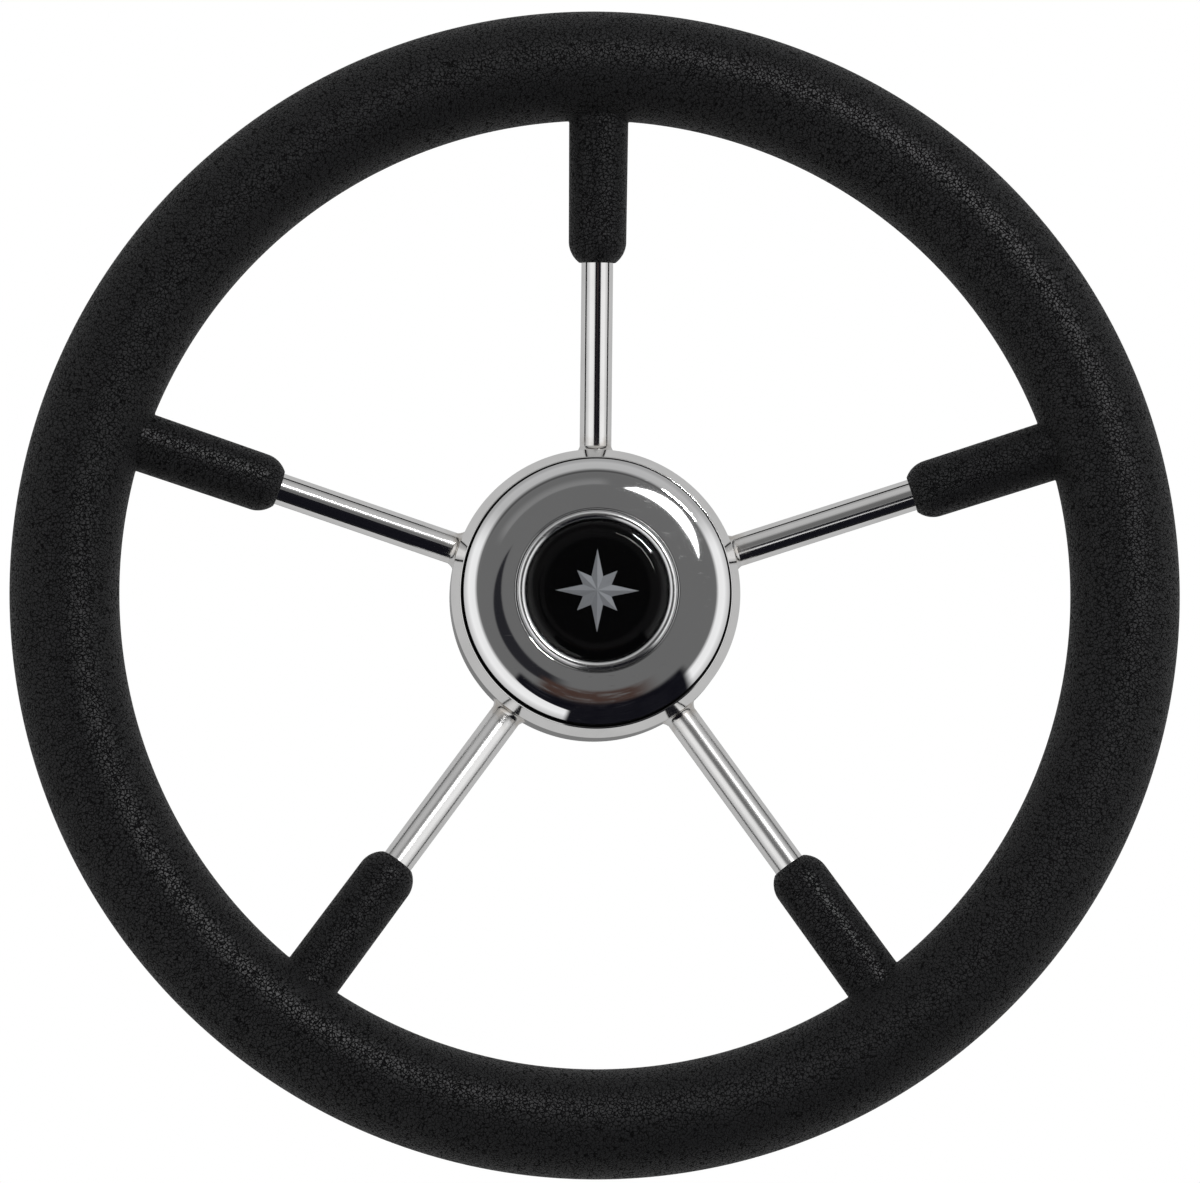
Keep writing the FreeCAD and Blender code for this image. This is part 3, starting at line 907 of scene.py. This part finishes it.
class WHEEL_OT_badge(bpy.types.Operator):
    """Models the bright ring, the black disc, the compass star on it and the clear resin over them"""

    bl_idname = "wheel.badge"
    bl_label = "Badge"

    def make_ring(self, sizes):
        bore = BADGE_RING_RADIUS - sizes.ring_band
        corners = [
            (bore, BADGE_FLOOR, 0),
            (BADGE_RING_RADIUS, BADGE_FLOOR, 0),
            (BADGE_RING_RADIUS, BADGE_RING_FRONT, sizes.ring_round),
            (bore, BADGE_RING_FRONT, sizes.ring_round),
        ]
        mesh = bmesh.new()
        points = wire(mesh, [corner[:2] for corner in corners], True)
        for point, corner in zip(points, corners):
            if corner[2]:
                round_corner(mesh, point, corner[2], 12)
        turn_about(mesh)
        material = chrome_finish("ring_chrome", 0.9, 0.2)
        finish_piece("bright_ring", mesh, "cap", material, ["badge_ring"], 50)

    def make_plate(self, sizes):
        mesh = bmesh.new()
        corners = [(0.0, BADGE_FLOOR), (sizes.disc_radius, BADGE_FLOOR), (sizes.disc_radius, BADGE_TOP), (0.0, BADGE_TOP)]
        points = wire(mesh, corners)
        round_corner(mesh, points[2], 0.0002, 3)
        turn_about(mesh)
        finish_piece("black_disc", mesh, "cap", badge_finish(), ["badge_plate"])

    def make_star(self, sizes):
        """Eight points, long and short in turn, each with a ridge from its tip to the star's middle."""
        mesh = bmesh.new()
        bmesh.ops.create_circle(
            mesh, cap_ends=True, segments=16, radius=sizes.star_waist,
            matrix=Matrix.Translation((0, -BADGE_TOP - sizes.star_edge, 0)) @ STAND_UP,
        )
        bmesh.ops.poke(mesh, faces=mesh.faces[:])
        middle = min(mesh.verts, key=lambda point: point.co.xz.length)
        middle.co.y -= sizes.star_relief
        for point in mesh.verts:
            if point is middle:
                continue
            sixteenth = round(math.atan2(point.co.z, point.co.x) / (FULL_TURN / 16))
            if sixteenth % 4 == 0:
                point.co.xz = point.co.xz.normalized() * sizes.star_radius
            elif sixteenth % 2 == 0:
                point.co.xz = point.co.xz.normalized() * sizes.star_short
        walls = bmesh.ops.extrude_edge_only(mesh, edges=[edge for edge in mesh.edges if edge.is_boundary])
        for item in walls["geom"]:
            if isinstance(item, bmesh.types.BMVert):
                item.co.y += sizes.star_edge
        bmesh.ops.holes_fill(mesh, edges=[edge for edge in mesh.edges if edge.is_boundary], sides=0)
        bmesh.ops.recalc_face_normals(mesh, faces=mesh.faces[:])
        finish_piece("compass_star", mesh, "cap", star_finish(), (), 1)

    def make_lens(self, sizes):
        base = BADGE_TOP + sizes.lens_step
        brim = base + sizes.lens_edge
        mesh = bmesh.new()
        rim = mesh.verts.new((sizes.disc_radius, 0, 0))
        top = arc(mesh, rim, (0.0, 0.0), -math.pi / 2, 48)
        top.co.x = 0
        for point in mesh.verts:
            point.co.y = point.co.y * (LENS_FRONT - brim) / sizes.disc_radius - brim
        edge = wire(mesh, [(sizes.disc_radius, base), (0.0, base)])
        mesh.edges.new((rim, edge[0]))
        turn_about(mesh)
        finish_piece("clear_resin", mesh, "cap", resin_finish(), ["badge_lens"], 50)

    def execute(self, context):
        sizes = context.scene.wheel_badge
        self.make_ring(sizes)
        self.make_plate(sizes)
        self.make_star(sizes)
        self.make_lens(sizes)
        return {"FINISHED"}


class WHEEL_OT_inner_parts(bpy.types.Operator):
    """Finishes the pieces that keep their CAD shape: the ring in the foam, the boss, its weld and the seal"""

    bl_idname = "wheel.inner_parts"
    bl_label = "Inner parts"

    def execute(self, context):
        steel = tuple(context.scene.wheel_finishes.steel)
        turned = turned_finish()
        paint_node("rim_ring", polished_finish("bar_steel", toned(steel, 0.8), 0.3, 1.0))
        paint_node("hub_boss", turned)
        paint_node("boss_weld", polished_finish("bead_steel", toned(steel, 0.8), 0.24, 1.0))
        paint_node("cap_seal", rubber_finish())
        return {"FINISHED"}


# ---------------------------------------------------------------- studio


class WHEEL_OT_studio(bpy.types.Operator):
    """Builds the room's light, the pale floor and the camera"""

    bl_idname = "wheel.studio"
    bl_label = "Studio"

    def camera_way(self, studio):
        """The way from the rim's centre to the camera."""
        left, below = studio.left, studio.below
        return Vector((-math.sin(left), -math.cos(left) * math.cos(below), -math.sin(below))).normalized()

    def mirror_axes(self, studio):
        """The way that the cap's middle mirrors back from the camera, and what is right of it and above it."""
        towards = self.camera_way(studio) * Vector((-1, 1, -1))
        aside = UP.cross(towards).normalized()
        return towards, aside, towards.cross(aside)

    def add_room(self, scene, studio):
        """Light from all round, in degrees off the way that the cap's middle mirrors.

        A grey wall with a dark opening round the camera, bright sides, softer light behind, a narrow strip light up
        on the right, a dark flag on the left, and a dark table low in front.
        """
        world = bpy.data.worlds.new("studio_room")
        scene.world = world
        shader = Shader(world)
        way = shader.out(shader.add("ShaderNodeTexCoord"), "Generated")
        ahead, right, high = (
            shader.out(shader.add("ShaderNodeVectorMath", {"operation": "DOT_PRODUCT"}, {0: way, 1: axis}), "Value")
            for axis in self.mirror_axes(studio)
        )
        off = shader.maths("ARCCOSINE", shader.maths("MINIMUM", ahead, 0.99999)) * (180 / math.pi)
        stretch = off / shader.maths("SQRT", right * right + high * high + 1e-9)
        across = right * stretch
        rise = high * stretch
        turn = shader.maths("ARCTAN2", across, -rise) * (180 / math.pi)

        # A grey wall, then the bright sides. Overhead they are less bright, and at the upper left they start later
        high_share = rise / off
        overhead = shader.step(high_share, 0.35, 0.7) * shader.step(off, 21.4, 23) * (1.0 - shader.step(off, 70, 96))
        corner = shader.step((rise * 0.87 - across * 0.5) / off, 0.2, 0.95) * (1.0 - shader.step(off, 60, 90))
        edge = shader.maths("MAXIMUM", off - corner * 6.0, shader.maths("MINIMUM", off, 21.4))
        stops = [(degrees / 180, value) for degrees, value in (
            (0, 0.03), (13.4, 0.035), (14.6, 0.155), (21.6, 0.155), (24, 0.35), (33, 0.95), (55, 1.0), (66, 0.78),
            (80, 0.6), (98, 0.58), (150, 0.54), (166, 0.5), (173, 0.2),
        )]
        glow = shader.out(shader.add("ShaderNodeValToRGB", {"stops": stops}, {"Fac": edge / 180.0}), "Color")
        glow = shader.mix(overhead * 0.45, glow, (0, 0, 0))

        # A faint bright line along the top of the grey wall, up on the left
        line = shader.step(off, 18.8, 19.0) * (1.0 - shader.step(off, 19.2, 20.4)) * shader.step(high_share, 0.4, 0.6)
        glow = shader.mix(line * (1.0 - shader.step(across, 0, 3)) * 0.1, glow, (1.0, 1.0, 1.0))

        # The flag: a dark crescent on the left that ends by the table
        far = self.distance(shader, across, rise, 3.19, 215)
        flag = shader.step(off, 16.8, 17.1) * (1.0 - shader.step(far, 15.6, 15.9)) * (1.0 - shader.step(across, -9, -4))
        glow = shader.mix(flag, glow, (0.02, 0.02, 0.024))

        # The table: brown streaks on its near edge, dark behind, with a bright gap at its left end
        drawn_out = shader.out(shader.add("ShaderNodeCombineXYZ", None, {0: off * 3.4, 1: turn * 0.05}))
        streaks = shader.noise(drawn_out, 1.0, 3.0, 0.6)
        brown = shader.step(off, 17.6, 18.2) * (1.0 - shader.step(off, 26, 30))
        brown = brown * shader.step(turn, -36, -26) * (1.0 - shader.step(turn, 18, 38))
        glow = shader.mix(brown * shader.step(streaks, 0.32, 0.5), glow, (0.065, 0.038, 0.031))
        left_end = -43.0 + shader.step(off, 24, 38) * 30.0
        dark = shader.step(off, 19.6, 20.4) * (1.0 - shader.step(off, 90, 100))
        dark = dark * shader.step(turn - left_end, -1.5, 1.5) * (1.0 - shader.step(turn, 46, 52))
        table = shader.mix(shader.step(streaks, 0.5, 0.7), (0.005, 0.005, 0.008), (0.03, 0.03, 0.036))
        glow = shader.mix(dark, glow, table)

        # The strip light
        far = self.distance(shader, across, rise, 8.58, 47)
        strip = shader.step(off, 18.75, 19.0) * (1.0 - shader.step(far, 11.95, 12.15))
        camera_ray = shader.out(shader.add("ShaderNodeLightPath"), "Is Camera Ray")
        level = camera_ray + (1.0 - camera_ray) * (1.0 + strip * studio.strip)
        colour_now = shader.mix(shader.maths("MAXIMUM", camera_ray, strip), glow, (1.0, 1.0, 1.0))
        background = shader.add("ShaderNodeBackground", None, {"Color": colour_now, "Strength": level})
        shader.add("ShaderNodeOutputWorld", None, {"Surface": shader.out(background)})

    def add_softbox(self, scene, studio):
        """A soft lamp up on the right, which brings out the foam's grain."""
        towards, aside, above = self.mirror_axes(studio)
        sideways = aside * math.cos(studio.softbox_turn) + above * math.sin(studio.softbox_turn)
        way = towards * math.cos(studio.softbox_off) + sideways * math.sin(studio.softbox_off)
        light = bpy.data.lights.new("softbox", "AREA")
        light.shape = "RECTANGLE"
        light.size = studio.softbox_length
        light.size_y = studio.softbox_width
        light.energy = studio.softbox_power
        lamp = bpy.data.objects.new("softbox", light)
        scene.collection.objects.link(lamp)
        along = way.cross(sideways).normalized()
        turned = Matrix((along, way.cross(along), way)).transposed().to_4x4()
        lamp.matrix_world = Matrix.Translation(Vector((0, -RIM_FORWARD, 0)) + way * studio.softbox_distance) @ turned

    def distance(self, shader, across, rise, shift, degrees):
        """The distance in degrees to a point that lies a shift off the middle, in a direction."""
        side = across - shift * math.cos(math.radians(degrees))
        height = rise - shift * math.sin(math.radians(degrees))
        return shader.maths("SQRT", side * side + height * height)

    def add_floor(self, drop):
        """A wide pale floor that still shows the wheel's shadow."""
        height = span("grip", 2)[0] - drop
        mesh = bmesh.new()
        bmesh.ops.create_grid(
            mesh, x_segments=8, y_segments=8, size=30.0, matrix=Matrix.Translation((0, 0, height))
        )
        data = bpy.data.meshes.new("studio_floor")
        mesh.to_mesh(data)
        mesh.free()
        floor = bpy.data.objects.new("studio_floor", data)
        bpy.context.scene.collection.objects.link(floor)
        floor.visible_glossy = False
        material, shader = new_finish("studio_floor")
        paper = shader.noise(shader.place(), 40.0, 3.0)
        matt = shader.surface(
            Base_Color=shader.mix(paper, (0.80, 0.80, 0.80), (0.84, 0.84, 0.84)), Roughness=0.9,
            Specular_IOR_Level=0.0,
        )
        white = shader.out(shader.add("ShaderNodeEmission", None, {"Color": (1, 1, 1, 1), "Strength": 1.15}))
        camera_ray = shader.out(shader.add("ShaderNodeLightPath"), "Is Camera Ray")
        shader.finish(shader.blend(camera_ray * 0.72, matt, white))
        data.materials.append(material)

    def add_camera(self, scene, studio):
        target = Vector((studio.aim_right, -RIM_FORWARD, studio.aim_up))
        way = self.camera_way(studio)
        lens = bpy.data.cameras.new("photo_camera")
        lens.lens = lens.sensor_width * studio.distance / studio.view_width
        lens.clip_start = 0.05
        lens.clip_end = 60.0
        camera = bpy.data.objects.new("photo_camera", lens)
        scene.collection.objects.link(camera)
        level = way.to_track_quat("Z", "Y").to_matrix().to_4x4()
        camera.matrix_world = (
            Matrix.Translation(target + way * studio.distance) @ level @ Matrix.Rotation(studio.roll, 4, "Z")
        )
        scene.camera = camera

    def execute(self, context):
        scene = context.scene
        studio = scene.wheel_studio
        scene.view_settings.view_transform = "Standard"
        self.add_room(scene, studio)
        self.add_softbox(scene, studio)
        self.add_floor(studio.floor_drop)
        self.add_camera(scene, studio)
        return {"FINISHED"}


# ---------------------------------------------------------------- add-on


OPERATORS = (
    WHEEL_OT_foam_grip, WHEEL_OT_spoke_bars, WHEEL_OT_spoke_welds, WHEEL_OT_hub_drum, WHEEL_OT_hub_cap,
    WHEEL_OT_badge, WHEEL_OT_inner_parts, WHEEL_OT_studio,
)
GROUPS = {
    "wheel_grip": GripSizes, "wheel_spokes": SpokeSizes, "wheel_hub": HubSizes, "wheel_badge": BadgeSizes,
    "wheel_finishes": Finishes, "wheel_studio": StudioSettings,
}


class WHEEL_PT_parts(bpy.types.Panel):
    """Lists the wheel's pieces with the sizes that can be changed"""

    bl_idname = "WHEEL_PT_parts"
    bl_label = "Boat steering wheel"
    bl_space_type = "VIEW_3D"
    bl_region_type = "UI"
    bl_category = "Wheel"

    def draw(self, context):
        for operator in OPERATORS:
            self.layout.operator(operator.bl_idname)
        for name, group in GROUPS.items():
            box = self.layout.box()
            for item in group.__annotations__:
                box.prop(getattr(context.scene, name), item)


def register():
    for item in (*GROUPS.values(), *OPERATORS, WHEEL_PT_parts):
        bpy.utils.register_class(item)
    for name, group in GROUPS.items():
        setattr(bpy.types.Scene, name, bpy.props.PointerProperty(type=group))


def unregister():
    for name in GROUPS:
        delattr(bpy.types.Scene, name)
    for item in (WHEEL_PT_parts, *reversed(OPERATORS), *reversed(GROUPS.values())):
        bpy.utils.unregister_class(item)


def main():
    register()
    for name in ("studio", "foam_grip", "spoke_bars", "spoke_welds", "hub_drum", "hub_cap", "badge", "inner_parts"):
        getattr(bpy.ops.wheel, name)()


if __name__ == "__main__":
    main()
